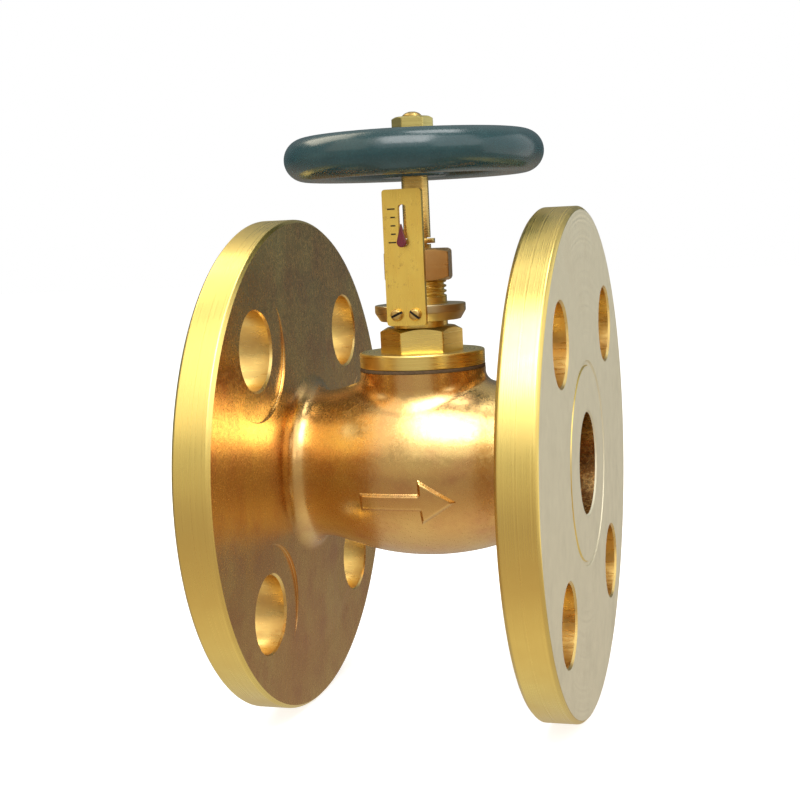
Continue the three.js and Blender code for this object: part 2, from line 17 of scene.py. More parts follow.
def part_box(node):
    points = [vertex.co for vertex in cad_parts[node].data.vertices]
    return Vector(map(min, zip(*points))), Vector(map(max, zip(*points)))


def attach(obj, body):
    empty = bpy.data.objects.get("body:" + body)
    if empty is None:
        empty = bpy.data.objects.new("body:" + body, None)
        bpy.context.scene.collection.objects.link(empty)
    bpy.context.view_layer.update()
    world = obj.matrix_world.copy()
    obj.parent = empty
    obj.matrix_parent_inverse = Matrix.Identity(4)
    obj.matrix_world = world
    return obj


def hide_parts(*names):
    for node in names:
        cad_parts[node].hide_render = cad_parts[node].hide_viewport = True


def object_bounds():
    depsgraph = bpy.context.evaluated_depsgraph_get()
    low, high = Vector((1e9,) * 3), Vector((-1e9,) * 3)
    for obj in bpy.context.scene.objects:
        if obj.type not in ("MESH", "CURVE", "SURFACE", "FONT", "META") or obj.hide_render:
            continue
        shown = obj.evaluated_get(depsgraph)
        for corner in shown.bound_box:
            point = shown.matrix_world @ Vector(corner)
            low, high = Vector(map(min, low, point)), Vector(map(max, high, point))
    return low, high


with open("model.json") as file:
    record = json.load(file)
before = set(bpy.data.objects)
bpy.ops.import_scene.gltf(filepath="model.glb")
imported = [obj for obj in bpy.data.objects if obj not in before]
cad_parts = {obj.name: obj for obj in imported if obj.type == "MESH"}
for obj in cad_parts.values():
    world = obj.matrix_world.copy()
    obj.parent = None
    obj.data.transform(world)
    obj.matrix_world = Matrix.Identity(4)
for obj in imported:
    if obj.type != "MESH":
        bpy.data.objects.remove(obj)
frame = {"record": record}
CAD_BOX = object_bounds()
MM = 0.001
BODY_OF = {node: body for body, nodes in frame["record"]["behaviour"]["bodies"].items() for node in nodes}


def span(node):
    """The lowest and highest corner of a CAD node, in millimetres."""
    low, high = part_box(node)
    return low / MM, high / MM


def add(name, data):
    made = bpy.data.objects.new(name, data)
    bpy.context.scene.collection.objects.link(made)
    return made


# -------------------- camera


def place_camera():
    """Looks at the valve from its front, a little from the right and from above."""
    azimuth, elevation, distance = radians(16.005), radians(9.349), 359.753
    roll, pan, tilt = radians(-2.482), radians(0.984), radians(2.564)
    back = Vector((sin(azimuth), -cos(azimuth), 0)) * cos(elevation)
    back.z = sin(elevation)
    right = Vector((cos(azimuth), sin(azimuth), 0))
    square = Matrix((right, back.cross(right), back))
    aim = Matrix.Rotation(pan, 3, "Y") @ Matrix.Rotation(tilt, 3, "X") @ Matrix.Rotation(roll, 3, "Z")
    camera = add("camera", bpy.data.cameras.new("camera"))
    turn = (aim.transposed() @ square).transposed().to_4x4()
    camera.matrix_world = Matrix.Translation(back * distance * MM) @ turn
    camera.data.lens = 63.93
    camera.data.clip_start = 0.01
    bpy.context.scene.camera = camera


# -------------------- meshes

# How points made round or along +Z are laid along another axis.
ALONG = {
    "Z": np.array([[1, 0, 0], [0, 1, 0], [0, 0, 1]]),
    "X": np.array([[0, 0, 1], [0, 1, 0], [-1, 0, 0]]),
    "-Y": np.array([[1, 0, 0], [0, 0, -1], [0, 1, 0]]),
}


def make(name, points, faces, along="Z", centre=(0, 0, 0)):
    """A closed mesh object from points in millimetres, with its faces turned outwards."""
    laid = np.asarray(points, float) @ ALONG[along].T + np.array(centre)
    mesh = bpy.data.meshes.new(name)
    mesh.from_pydata((laid * MM).tolist(), [], faces)
    work = bmesh.new()
    work.from_mesh(mesh)
    bmesh.ops.recalc_face_normals(work, faces=work.faces)
    if work.calc_volume(signed=True) < 0:
        bmesh.ops.reverse_faces(work, faces=work.faces)
    work.to_mesh(mesh)
    work.free()
    return add(name, mesh)


def rounded(points, size, steps=4, closed=False):
    """Rounds the corners of an outline. A point may end in a size of its own; 0 leaves it sharp."""
    corners = [Vector(p[:2]) for p in points]
    sizes = [p[2] if len(p) > 2 else size for p in points]
    made = []
    last = len(corners) - 1
    for k, corner in enumerate(corners):
        if sizes[k] == 0 or (not closed and k in (0, last)):
            made.append(tuple(corner))
            continue
        before, after = corners[k - 1] - corner, corners[(k + 1) % len(corners)] - corner
        reach = min(sizes[k], before.length * 0.45, after.length * 0.45)
        start, end = corner + before.normalized() * reach, corner + after.normalized() * reach
        for t in np.linspace(0, 1, steps + 1):
            made.append(tuple(start * (1 - t) ** 2 + corner * 2 * t * (1 - t) + end * t**2))
    return made


def turned(name, profile, facets=128, along="Z", centre=(0, 0, 0)):
    """Turns (radius, height) points round an axis, from axis to axis or as a closed ring."""
    ring = profile[0][0] > 0
    angles = np.linspace(0, 2 * pi, facets, endpoint=False)
    points, starts = [], []
    for radius, height, *_ in profile:
        starts.append(len(points))
        if radius < 1e-6:
            points.append((0, 0, height))
        else:
            points += [(radius * cos(a), radius * sin(a), height) for a in angles]
    starts.append(len(points))
    faces = []
    rows = len(profile)
    for row in range(rows if ring else rows - 1):
        low, high = starts[row], starts[(row + 1) % rows]
        low_pole = starts[row + 1] - low == 1
        high_pole = not ring and starts[row + 2] - high == 1
        for k in range(facets):
            k2 = (k + 1) % facets
            if low_pole:
                faces.append((low, high + k2, high + k))
            elif high_pole:
                faces.append((low + k, low + k2, high))
            else:
                faces.append((low + k, low + k2, high + k2, high + k))
    return make(name, points, faces, along, centre)


def both_ends(half):
    """The whole profile of something along the pipe, from the half of it at the outlet."""
    return [(p[0], -p[1], *p[2:]) for p in reversed(half) if p[1] > 0] + half


def rod(name, radius, bottom, top, facets=96, along="Z", centre=(0, 0, 0), soft=0.0):
    """A plain cylinder, its two edges rounded by soft."""
    profile = [(0, bottom), (radius, bottom, soft), (radius, top, soft), (0, top)]
    return turned(name, rounded(profile, 0), facets, along, centre)


def ringed(name, heights, radius, facets=96):
    """A solid round +Z with flat ends, whose radius is a function of angle and height."""
    angle, height = np.meshgrid(np.linspace(0, 2 * pi, facets, endpoint=False), heights)
    r = radius(angle, height)
    points = np.stack([r * np.cos(angle), r * np.sin(angle), height], -1).reshape(-1, 3)
    rows = len(heights)
    faces = [tuple(range(facets)), tuple(range((rows - 1) * facets, rows * facets))]
    for row in range(rows - 1):
        for k in range(facets):
            k2 = (k + 1) % facets
            a, b = row * facets, (row + 1) * facets
            faces.append((a + k, a + k2, b + k2, b + k))
    return make(name, points, faces)


def prism(name, outline, bottom, top, along="Z", centre=(0, 0, 0)):
    """An outline of (x, y) points, extruded from bottom to top."""
    count = len(outline)
    points = [(p[0], p[1], z) for z in (bottom, top) for p in outline]
    faces = [tuple(range(count)), tuple(range(count, 2 * count))]
    faces += [(k, (k + 1) % count, count + (k + 1) % count, count + k) for k in range(count)]
    return make(name, points, faces, along, centre)


def rectangle(left, low, right, high):
    return [(left, low), (right, low), (right, high), (left, high)]


def block(name, low, high):
    return prism(name, rectangle(*low[:2], *high[:2]), low[2], high[2])


def apply(piece):
    """Makes the modifiers of a piece part of its mesh."""
    graph = bpy.context.evaluated_depsgraph_get()
    mesh = bpy.data.meshes.new_from_object(piece.evaluated_get(graph))
    piece.modifiers.clear()
    piece.data = mesh
    return piece


def boolean(piece, operation, tools):
    """Cuts or joins the tools into a piece, one by one, and uses them up."""
    for tool in tools:
        change = piece.modifiers.new("change", "BOOLEAN")
        change.operation = operation
        change.solver = "MANIFOLD"
        change.object = tool
        apply(piece)
        bpy.data.objects.remove(tool)
    return piece


def cut(piece, *tools):
    return boolean(piece, "DIFFERENCE", tools)


def join(piece, *tools):
    return boolean(piece, "UNION", tools)


def common(piece, *tools):
    return boolean(piece, "INTERSECT", tools)


def bevel(piece, width, segments=3, angle=30):
    """Rounds the edges of a piece that are sharper than angle."""
    change = piece.modifiers.new("edges", "BEVEL")
    change.width = width * MM
    change.segments = segments
    change.limit_method = "ANGLE"
    change.angle_limit = radians(angle)
    return apply(piece)


def hexagon(flats, angle, corner=0.0):
    """The outline of a hexagon, one of its corners at that angle from +X."""
    turns = [radians(angle + 60 * k) for k in range(6)]
    radius = flats / sqrt(3)
    points = [(radius * cos(a), radius * sin(a)) for a in turns]
    return rounded(points, corner, 3, closed=True)


def hex_head(name, flats, angle, bottom, top, both=True, corner=0.35, edge=0.15):
    """A hexagon whose corners are turned off at 30 degrees, at its top or at both ends."""
    radius = flats / sqrt(3) + 0.05
    high = (radius - flats / 2) * 1.35
    low = high if both else 0
    slope = tan(radians(30))
    profile = [
        (0, bottom), (radius - low, bottom, edge), (radius, bottom + low * slope, 0),
        (radius, top - high * slope, 0), (radius - high, top, edge), (0, top),
    ]
    head = prism(name, hexagon(flats, angle, corner), bottom, top)
    return common(head, turned("envelope", rounded(profile, 0), 144))


def settle(piece, distance, rounds=5, step=0.02, reach=0.7):
    """Moves every point of a piece, by reach at most a round, to where distance(x, y, z) is 0."""
    flat = np.empty(len(piece.data.vertices) * 3, np.float32)
    piece.data.vertices.foreach_get("co", flat)
    points = flat.reshape(-1, 3).astype(float) / MM
    for _ in range(rounds):
        value = distance(*points.T)
        slope = np.empty_like(points)
        for k, aside in enumerate(np.eye(3) * step):
            slope[:, k] = (distance(*(points + aside).T) - distance(*(points - aside).T)) / (2 * step)
        move = value / np.maximum((slope**2).sum(1), 0.1)
        points -= np.clip(move, -reach, reach)[:, None] * slope
    piece.data.vertices.foreach_set("co", (points * MM).astype(np.float32).ravel())
    piece.data.update()


def cast(name, seeds, distance, voxel):
    """One smooth skin round overlapping seeds, settled on the surface where distance is 0."""
    work = bmesh.new()
    for seed in seeds:
        work.from_mesh(seed.data)
        bpy.data.objects.remove(seed)
    mesh = bpy.data.meshes.new(name)
    work.to_mesh(mesh)
    work.free()
    piece = add(name, mesh)
    skin = piece.modifiers.new("skin", "REMESH")
    skin.mode = "VOXEL"
    skin.voxel_size = voxel * MM
    apply(piece)
    settle(piece, distance)
    relax = piece.modifiers.new("relax", "SMOOTH")
    relax.factor = 0.5
    relax.iterations = 6
    apply(piece)
    settle(piece, distance)
    return piece


def round_union(a, b, radius):
    """The distance to two joined solids, with a fillet of that radius between them."""
    near = np.hypot(np.maximum(radius - a, 0), np.maximum(radius - b, 0))
    return np.maximum(radius, np.minimum(a, b)) - near


def finish(piece, materials, region=None, angle=32):
    """Puts NODE_fine in place of the CAD's NODE. region picks a material by a face's middle and normal."""
    node = piece.name.removesuffix("_fine")
    piece.data.materials.clear()
    for material in materials:
        piece.data.materials.append(material)
    faces = piece.data.polygons
    chosen = np.zeros(len(faces), np.int32)
    if region is not None:
        middles = np.empty(len(faces) * 3, np.float32)
        normals = np.empty(len(faces) * 3, np.float32)
        faces.foreach_get("center", middles)
        faces.foreach_get("normal", normals)
        chosen = region(middles.reshape(-1, 3) / MM, normals.reshape(-1, 3)).astype(np.int32)
    faces.foreach_set("material_index", chosen)
    faces.foreach_set("use_smooth", np.ones(len(faces), bool))
    piece.data.set_sharp_from_angle(angle=radians(angle))
    shading = piece.modifiers.new("normals", "WEIGHTED_NORMAL")
    shading.keep_sharp = True
    apply(piece)
    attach(piece, BODY_OF[node])
    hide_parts(node)
    return piece


# -------------------- materials


class Nodes:
    """A node tree, and a short way to add to it."""

    def __init__(self, tree):
        self.tree = tree

    def feed(self, socket, value):
        """Links a socket to another one, or sets it to a constant."""
        if isinstance(value, bpy.types.NodeSocket):
            self.tree.links.new(value, socket)
        else:
            socket.default_value = value

    def node(self, kind, inputs=(), **settings):
        made = self.tree.nodes.new(kind)
        for key, value in settings.items():
            setattr(made, key, value)
        for key, value in dict(inputs).items():
            self.feed(made.inputs[key], value)
        return made


class Finish(Nodes):
    """A material in the making."""

    def __init__(self, name, color, roughness, metallic=1.0, **sockets):
        self.material = bpy.data.materials.new(name)
        self.material.use_nodes = True
        super().__init__(self.material.node_tree)
        self.shader = self.tree.nodes["Principled BSDF"]
        self.material.diffuse_color = (*color, 1)
        self.put("Base Color", (*color, 1))
        self.put("Roughness", roughness)
        self.put("Metallic", metallic)
        for socket, value in sockets.items():
            self.put(socket.replace("_", " "), value)
        self.place = self.node("ShaderNodeTexCoord").outputs["Object"]

    def put(self, socket, value):
        self.feed(self.shader.inputs[socket], value)

    def noise(self, size, detail=2.0, rough=0.5, stretch=(1, 1, 1), seed=0.0):
        """Noise whose features are about size millimetres across."""
        offset = (seed, seed * 0.7, seed * 1.3)
        mapping = {"Vector": self.place, "Location": offset, "Scale": stretch}
        scaled = self.node("ShaderNodeMapping", mapping)
        inputs = {"Vector": scaled.outputs[0], "Scale": 1 / (size * MM), "Detail": detail, "Roughness": rough}
        return self.node("ShaderNodeTexNoise", inputs).outputs["Fac"]

    def ramp(self, value, low, high, start=0.35, end=0.65):
        """A number that goes from low to high while value goes from start to end."""
        inputs = {"Value": value, "From Min": start, "From Max": end, "To Min": low, "To Max": high}
        return self.node("ShaderNodeMapRange", inputs).outputs[0]

    def blend(self, factor, first, second):
        """A colour that goes from first to second with factor."""
        a, b = [c if isinstance(c, bpy.types.NodeSocket) else (*c, 1) for c in (first, second)]
        return self.node("ShaderNodeMix", {"Factor": factor, 6: a, 7: b}, data_type="RGBA").outputs[2]

    def combine(self, first, second, operation="ADD"):
        """Two numbers, put through that operation."""
        return self.node("ShaderNodeMath", {0: first, 1: second}, operation=operation).outputs[0]

    def bump(self, height, depth, below=None):
        """Adds relief that is depth millimetres deep, over any relief below it."""
        inputs = {"Height": height, "Distance": depth * MM, "Strength": 1.0}
        if below is not None:
            inputs["Normal"] = below
        return self.node("ShaderNodeBump", inputs).outputs[0]

    def tool_marks(self, axis, size):
        """Fine rings round that axis: by radius on a face across it, and by height on its sides."""
        across = {"X": (0, 1, 1), "Z": (1, 1, 0)}[axis]
        flat = self.node("ShaderNodeVectorMath", {0: self.place, 1: across}, operation="MULTIPLY")
        radius = self.node("ShaderNodeVectorMath", {0: flat.outputs[0]}, operation="LENGTH").outputs["Value"]
        height = self.node("ShaderNodeSeparateXYZ", {0: self.place}).outputs[axis]
        normal = self.node("ShaderNodeTexCoord").outputs["Normal"]
        facing = self.node("ShaderNodeSeparateXYZ", {0: normal}).outputs[axis]
        end_face = self.ramp(self.combine(facing, 0, "ABSOLUTE"), 0, 1, 0.3, 0.9)
        where = self.combine(self.combine(radius, end_face, "MULTIPLY"), height)
        inputs = {"W": where, "Scale": 1 / (size * MM), "Detail": 3.0, "Roughness": 0.65}
        return self.node("ShaderNodeTexNoise", inputs, noise_dimensions="1D").outputs["Fac"]


def cast_bronze():
    """The blasted skin of the casting: reddish, a little uneven, with a fine grain."""
    skin = Finish("cast_bronze", (0.72, 0.46, 0.16), 0.22)
    cloud = skin.noise(22, 3)
    stain = skin.noise(9, 4, 0.6, seed=3)
    warm = skin.blend(skin.ramp(cloud, 0, 1, 0.3, 0.7), (0.65, 0.38, 0.14), (0.72, 0.51, 0.19))
    color = skin.blend(skin.ramp(stain, 0, 0.65, 0.46, 0.72), warm, (0.55, 0.27, 0.12))
    grain = skin.noise(1.1, 3, 0.6)
    skin.put("Base Color", color)
    skin.put("Roughness", skin.ramp(grain, 0.19, 0.32, 0.3, 0.7))
    lumps = skin.bump(skin.noise(4.5, 2), 0.04)
    skin.put("Normal", skin.bump(grain, 0.018, lumps))
    return skin.material


def turned_bronze(name, color, shade, roughness, axis, size=0.5, depth=0.004):
    """Bronze fresh from the lathe, with fine rings round that axis."""
    metal = Finish(name, color, roughness)
    marks = metal.tool_marks(axis, size)
    cloud = metal.noise(14, 3, 0.6)
    metal.put("Base Color", metal.blend(metal.ramp(cloud, 0, 0.8, 0.4, 0.75), color, shade))
    spread = metal.ramp(marks, roughness - 0.06, roughness + 0.08, 0.3, 0.7)
    metal.put("Roughness", metal.combine(spread, metal.ramp(cloud, -0.03, 0.05)))
    metal.put("Normal", metal.bump(marks, depth))
    return metal.material


def bored_bronze():
    """The drilled holes and bores: bright, and a little uneven."""
    color, shade = (0.84, 0.62, 0.22), (0.68, 0.44, 0.15)
    metal = Finish("bored_bronze", color, 0.3)
    cloud = metal.noise(7, 3, 0.6)
    fine = metal.noise(0.6, 3, 0.6, stretch=(0.15, 1, 1))
    metal.put("Base Color", metal.blend(metal.ramp(cloud, 0, 0.8), color, shade))
    metal.put("Roughness", metal.ramp(fine, 0.24, 0.38, 0.3, 0.7))
    metal.put("Normal", metal.bump(fine, 0.004))
    return metal.material


def sheet_brass():
    """The rolled plate of the indicator, brushed lengthwise, with small dark spots."""
    color, shade, spot = (0.96, 0.72, 0.17), (0.88, 0.60, 0.13), (0.40, 0.22, 0.08)
    metal = Finish("sheet_brass", color, 0.3)
    brushed = metal.noise(0.25, 3, 0.6, stretch=(1, 1, 0.04))
    spots = metal.noise(1.6, 4, 0.65)
    tarnish = metal.blend(metal.ramp(metal.noise(9, 2), 0, 0.7), color, shade)
    metal.put("Base Color", metal.blend(metal.ramp(spots, 0, 0.5, 0.6, 0.72), tarnish, spot))
    metal.put("Roughness", metal.ramp(brushed, 0.24, 0.4, 0.3, 0.7))
    metal.put("Normal", metal.bump(brushed, 0.004))
    return metal.material


def enamel(name, color, light, roughness):
    """Glossy paint over a casting, with the slight waves of a brushed coat."""
    gloss = dict(Coat_Weight=0.4, Coat_Roughness=0.17, Specular_IOR_Level=0.3)
    paint = Finish(name, color, roughness, 0.0, **gloss)
    waves = paint.noise(5, 2)
    dust = paint.noise(0.7, 3, 0.7)
    paint.put("Base Color", paint.blend(paint.ramp(waves, 0, 0.6), color, light))
    paint.put("Roughness", paint.ramp(dust, roughness - 0.05, roughness + 0.12, 0.4, 0.75))
    paint.put("Normal", paint.bump(dust, 0.004, paint.bump(waves, 0.05)))
    return paint.material


def fibre(name, color, dark, size):
    """A matt, uneven material, for the gasket, the packing, the black fill of engraved lines and the painted
    shade in screw slots.
    """
    matt = Finish(name, color, 0.85, 0.0)
    threads = matt.noise(size, 4, 0.7)
    matt.put("Base Color", matt.blend(matt.ramp(threads, 0, 1), dark, color))
    matt.put("Normal", matt.bump(threads, 0.05))
    return matt.material


CAST = cast_bronze()
RIM = turned_bronze("turned_rim", (0.82, 0.63, 0.19), (0.76, 0.55, 0.16), 0.30, "X", 0.4, 0.002)
FACE = turned_bronze("faced_flange", (0.83, 0.77, 0.58), (0.64, 0.59, 0.44), 0.54, "X", 0.6, 0.010)
BORED = bored_bronze()
TURNED = turned_bronze("turned_bronze", (0.86, 0.69, 0.23), (0.74, 0.54, 0.18), 0.28, "Z")
DARK_TURNED = turned_bronze("dark_turned_bronze", (0.66, 0.44, 0.19), (0.52, 0.32, 0.13), 0.34, "Z")
AGED_BRASS = turned_bronze("aged_brass", (0.58, 0.49, 0.30), (0.40, 0.32, 0.19), 0.33, "Z")
SCREW_BRASS = turned_bronze("screw_brass", (0.58, 0.40, 0.13), (0.36, 0.23, 0.09), 0.44, "Z")
STEM_BRASS = turned_bronze("stem_brass", (0.76, 0.54, 0.17), (0.62, 0.38, 0.12), 0.25, "Z", 0.35, 0.003)
NUT_BRASS = turned_bronze("nut_brass", (0.58, 0.50, 0.18), (0.42, 0.34, 0.12), 0.32, "Z")
PLATE_BRASS = sheet_brass()
# Near-black: the fill of the plate's engraved ticks, and painted shade in the screws' slots.
ENGRAVING_PAINT_AND_SLOT_SHADE = fibre("engraving_paint", (0.05, 0.035, 0.02), (0.02, 0.015, 0.01), 0.3)
GREEN = enamel("green_enamel", (0.007, 0.030, 0.034), (0.011, 0.039, 0.043), 0.25)
RED = enamel("red_enamel", (0.13, 0.010, 0.02), (0.09, 0.008, 0.02), 0.35)
GASKET = fibre("gasket_fibre", (0.10, 0.055, 0.02), (0.05, 0.03, 0.012), 0.5)
PACKING = fibre("packing_braid", (0.62, 0.58, 0.48), (0.35, 0.32, 0.26), 0.4)
STEEL = turned_bronze("dull_steel", (0.50, 0.49, 0.46), (0.36, 0.35, 0.33), 0.36, "Z")


# -------------------- body casting

PAST = 1.0  # how far a cutting tool runs past the face it cuts
FLANGE = Sizes(
    radius=62.5, face=41.0, back=31.6, taper=1.1, taper_start=23.0, taper_end=49.0,
    circle=45.0, hole=9.5, spot=17.0, groove=24.5, groove_half=0.7, groove_depth=0.4,
)
BARREL = Sizes(radius=23.1, arc=63.0, arc_end=16.0, neck=18.7, neck_at=26.0, fillet=4.4)
WATERWAY = Sizes(port=12.5, radius=19.3, narrows=28.0, shaft=12.8, thread=13.5, thread_foot=14.6)
NECK = Sizes(radius=15.75, height=24.0, fillet=1.9)
WEB = Sizes(thickness=3.6, middle=-1.0, flat=10.5, rise=16.0, reach=25.5)
SEAT = Sizes(bore=10.5, lip=13.2, top=2.0)
MARK = Sizes(relief=0.85, slope=0.9, middle=-6.0, shaft=2.0, head=5.5, tail=-11.0, shoulder=4.0, tip=12.5)
OVERSIZE = 1.6  # metal left on the casting where it is machined


def barrel_radius(x):
    """The barrel's outside radius along the pipe: a long arc that runs out into the two necks."""
    away = np.abs(x)
    end, arc = BARREL.arc_end, BARREL.arc
    on_arc = BARREL.radius - arc + np.sqrt(arc**2 - np.minimum(away, end) ** 2)
    length, height = BARREL.neck_at - end, sqrt(arc**2 - end**2)
    t = np.clip((away - end) / length, 0, 1)
    slope, start = -end / height * length, BARREL.radius - arc + height
    ease = start * (2 * t**3 - 3 * t**2 + 1) + slope * (t**3 - 2 * t**2 + t)
    return np.where(away < end, on_arc, ease + BARREL.neck * (3 * t**2 - 2 * t**3))


def casting_distance(x, y, z):
    """Outside the raw casting this is positive, and 0 on its skin."""
    radius = np.hypot(y, z)
    away = np.abs(x)
    start, end = FLANGE.taper_start, FLANGE.taper_end
    taper = np.clip((radius - start) / (end - start), 0, 1)
    back = FLANGE.back - FLANGE.taper * (1 - taper)
    flange = np.maximum(back - away, radius - FLANGE.radius - OVERSIZE)
    flange = np.maximum(flange, away - FLANGE.face - OVERSIZE)
    body = round_union(radius - barrel_radius(x), flange, BARREL.fillet)
    neck = np.hypot(x, y) - NECK.radius
    neck = np.maximum(neck, z - NECK.height - OVERSIZE)
    neck = np.maximum(neck, -z)
    return round_union(body, neck, NECK.fillet)


def raw_casting():
    """The outside of the casting before it is machined."""
    rim = FLANGE.radius + OVERSIZE
    face = FLANGE.face + OVERSIZE
    hub = FLANGE.back - FLANGE.taper
    half = [(float(barrel_radius(x)), x) for x in np.linspace(0, BARREL.neck_at, 24)]
    fillet = BARREL.fillet
    for t in np.linspace(0, pi / 2, 8):
        half.append((BARREL.neck + fillet * (1 - cos(t)), hub - fillet * (1 - sin(t))))
    half += [(FLANGE.taper_end, FLANGE.back), (rim, FLANGE.back), (rim, face), (0, face)]
    barrel = turned("barrel", both_ends(half), 160, "X")
    neck = rod("neck", NECK.radius, 4, NECK.height + OVERSIZE, 128)
    return cast("body_casting_fine", [barrel, neck], casting_distance, 0.8)


def outline_distance(outline, x, z):
    """The distance of points to a closed outline, negative inside it."""
    best = np.full(x.shape, 1e9)
    inside = np.zeros(x.shape, bool)
    for (ax, az), (bx, bz) in zip(outline, outline[1:] + outline[:1]):
        dx, dz = bx - ax, bz - az
        t = np.clip(((x - ax) * dx + (z - az) * dz) / (dx**2 + dz**2), 0, 1)
        best = np.minimum(best, np.hypot(x - ax - t * dx, z - az - t * dz))
        if dz:
            inside ^= ((az > z) != (bz > z)) & (x < dx * (z - az) / dz + ax)
    return np.where(inside, -best, best)


def slab(name, front, back):
    """A closed solid between two grids of points, each one rows by columns by 3."""
    rows, columns, _ = front.shape
    count = rows * columns
    faces = []
    for row in range(rows - 1):
        for column in range(columns - 1):
            a = row * columns + column
            cell = (a, a + 1, a + columns + 1, a + columns)
            faces += [cell, tuple(count + k for k in reversed(cell))]
    edge = [*range(columns)]
    edge += [row * columns + columns - 1 for row in range(1, rows)]
    edge += [(rows - 1) * columns + column for column in range(columns - 2, -1, -1)]
    edge += [row * columns for row in range(rows - 2, 0, -1)]
    faces += [(b, a, count + a, count + b) for a, b in zip(edge, edge[1:] + edge[:1])]
    return make(name, [*front.reshape(-1, 3), *back.reshape(-1, 3)], faces)


def flow_arrow():
    """A raised arrow on the barrel's front that points downstream, with cast, sloping sides."""
    m = MARK
    margin, step, sunk, inner = 1.5, 0.3, 0.12, 20.6
    low, high = m.middle - m.head, m.middle + m.head
    shaft_low, shaft_high = m.middle - m.shaft, m.middle + m.shaft
    outline = [
        (m.tail, shaft_low), (m.shoulder, shaft_low), (m.shoulder, low), (m.tip, m.middle),
        (m.shoulder, high), (m.shoulder, shaft_high), (m.tail, shaft_high),
    ]
    xs = np.arange(m.tail - margin, m.tip + margin + 0.1, step)
    zs = np.arange(low - margin, high + margin + 0.1, step)
    x, z = np.meshgrid(xs, zs)
    inset = -outline_distance(outline, x, z)
    rise = np.clip((inset + 0.35) / m.slope, 0, 1)
    height = m.relief * rise**2 * (3 - 2 * rise) - sunk
    front = -np.sqrt((barrel_radius(x) + height) ** 2 - z**2)
    back = -np.sqrt(inner**2 - z**2)
    return slab("flow_arrow", np.stack([x, front, z], -1), np.stack([x, back, z], -1))


def waterway():
    """The hollow of the casting: two ports, and two chambers parted by the wall with the seat."""
    w, face = WATERWAY, FLANGE.face
    port, chamfered, end = w.port, w.port + 0.5, face + 3 * PAST
    half = [(w.radius, 0), (w.radius - 0.6, 8), (w.radius - 2.1, 16), (16.4, 20.5)]
    half += [(13.4, 25, 1.5), (port, w.narrows, 1.5), (port, face - 0.4, 0)]
    half += [(chamfered, face + 0.1, 0), (chamfered, end, 0), (0, end)]
    cavity = turned("waterway", rounded(both_ends(half), 3, 5), 96, "X")
    cut(cavity, partition())
    above = NECK.height + 4 * PAST
    shaft = rod("shaft", w.shaft, SEAT.top, above)
    return join(cavity, shaft, rod("bonnet_thread", w.thread, w.thread_foot, above, 128))


def partition():
    """The S-shaped wall between inlet and outlet, with the raised seat round its hole."""
    reach, flat, rise = WEB.reach, WEB.flat, WEB.rise
    xs = np.linspace(-reach, reach, 61)
    bend = rise * np.clip((np.abs(xs) - flat) / (reach - flat), 0, 1) ** 1.6
    middle = WEB.middle - np.sign(xs) * bend
    slope = np.gradient(middle, xs)
    thick = WEB.thickness / 2 * np.sqrt(1 + slope**2)
    outline = [*zip(xs, middle - thick), *zip(xs[::-1], (middle + thick)[::-1])]
    wall = prism("partition", outline, -BARREL.radius, BARREL.radius, "-Y")
    lip = rod("lip", SEAT.lip, WEB.middle, SEAT.top, soft=0.5)
    bore, seat, top = SEAT.bore, SEAT.bore + 0.8, SEAT.top
    below, above = -12.0, top + 2 * PAST
    profile = [(0, below), (bore, below), (bore, top - 0.5), (seat, top + 0.3), (seat, above), (0, above)]
    return cut(join(wall, lip), turned("seat_bore", profile, 96))


def machining_limits():
    """What the lathe leaves of the casting: both faces, both rims and their broken edges."""
    rim, face, back = FLANGE.radius, FLANGE.face, FLANGE.back
    groove, wide, deep = FLANGE.groove, FLANGE.groove_half, face - FLANGE.groove_depth
    narrow = wide - 0.25
    clear, edge = rim + 6 * PAST, 0.8
    half = [
        (clear, back - 0.7, 0), (rim - 1.5, back - 0.7, 0), (rim, back + edge), (rim, face - edge),
        (rim - edge, face), (groove + wide, face, 0), (groove + narrow, deep, 0),
        (groove - narrow, deep, 0), (groove - wide, face, 0), (0, face),
    ]
    return turned("limits", rounded(both_ends(half), 0.3, 3), 224, "X")


def bolt_cutter(side, level):
    """Drills one pair of bolt holes and spot-faces the backs of both flanges round them."""
    face, back, hole, spot = FLANGE.face, FLANGE.back, FLANGE.hole, FLANGE.spot
    end = face + 3 * PAST
    half = [(spot, back - 0.15, 0.2), (hole + 0.5, back - 0.15), (hole, back + 0.4), (hole, face - 0.5)]
    half += [(hole + 0.6, face + 0.1), (hole + 0.6, end), (0, end)]
    place = FLANGE.circle * sqrt(0.5)
    centre = (0, side * place, level * place)
    return turned("bolt_cutter", rounded(both_ends(half), 0), 96, "X", centre)


def casting_region(middles, normals):
    """0 on the cast skin, 1 on a rim, 2 on an outer face and 3 in a bolt hole or on the neck's seat."""
    x, y, z = middles.T
    radius, away = np.hypot(y, z), np.abs(x)
    outwards = (normals[:, 1] * y + normals[:, 2] * z) / np.maximum(radius, 1)
    along = np.abs(normals[:, 0])
    place = FLANGE.circle * sqrt(0.5)
    from_bolt = np.hypot(np.abs(y) - place, np.abs(z) - place)
    faced = away > FLANGE.face - FLANGE.groove_depth - 0.05
    drilled = (from_bolt < FLANGE.hole + 0.8) & (along < 0.9) & (radius > FLANGE.circle / 1.5)
    neck_seat = (z > NECK.height - 0.05) & (np.hypot(x, y) < NECK.radius + 1)
    region = np.zeros(len(x))
    region[(radius > FLANGE.radius - 1.2) & (outwards > 0.3)] = 1
    region[faced & (outwards > 0.3)] = 1
    region[faced & (outwards <= 0.3)] = 2
    region[drilled | neck_seat] = 3
    return region


